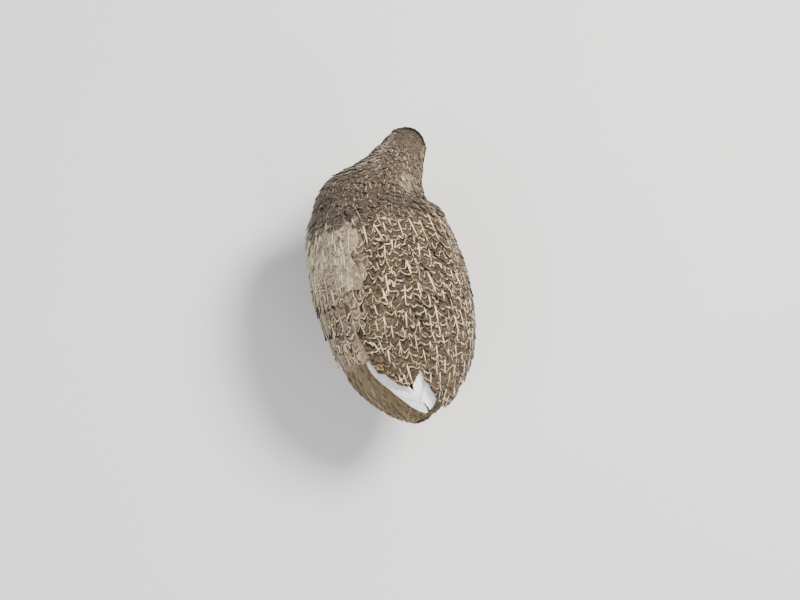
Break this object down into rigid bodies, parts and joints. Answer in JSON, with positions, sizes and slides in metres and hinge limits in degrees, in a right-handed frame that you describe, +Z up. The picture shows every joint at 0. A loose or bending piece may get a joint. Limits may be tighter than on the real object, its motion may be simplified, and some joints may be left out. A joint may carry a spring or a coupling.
{
  "type": "coturnix quail model",
  "caption": "Life-size still model of a coturnix quail standing low with folded wings, its neck bent to its right and its bill pointing down.",
  "frame": {"origin": "on the floor, under the middle of the whole bird", "axes": "+Z up, the bird faces -Y, its left side is +X"},
  "size_m": [0.0856, 0.1703, 0.1013],
  "materials": {
    "body_plumage": "matte tan and buff body feathers with pale shafts and dark bars",
    "back_plumage": "matte dark brown feathers with cream shafts and wavy cream bars, white flight feathers",
    "horn": "satin dark horn",
    "eye": "glossy dark brown eye",
    "leg_skin": "satin flesh-coloured scaled skin"
  },
  "bodies": {
    "root": {"torso": "body_plumage", "neck": "body_plumage", "head": "body_plumage", "tail": "body_plumage", "bill_upper": "horn", "bill_lower": "horn", "eye_left": "eye", "wing_left": "back_plumage", "thigh_left": "body_plumage", "shank_left": "leg_skin", "foot_left": "leg_skin", "claw_left_1": "horn", "claw_left_2": "horn", "claw_left_3": "horn", "claw_left_4": "horn", "eye_right": "eye", "wing_right": "back_plumage", "thigh_right": "body_plumage", "shank_right": "leg_skin", "foot_right": "leg_skin", "claw_right_1": "horn", "claw_right_2": "horn", "claw_right_3": "horn", "claw_right_4": "horn"}
  },
  "joints": []
}
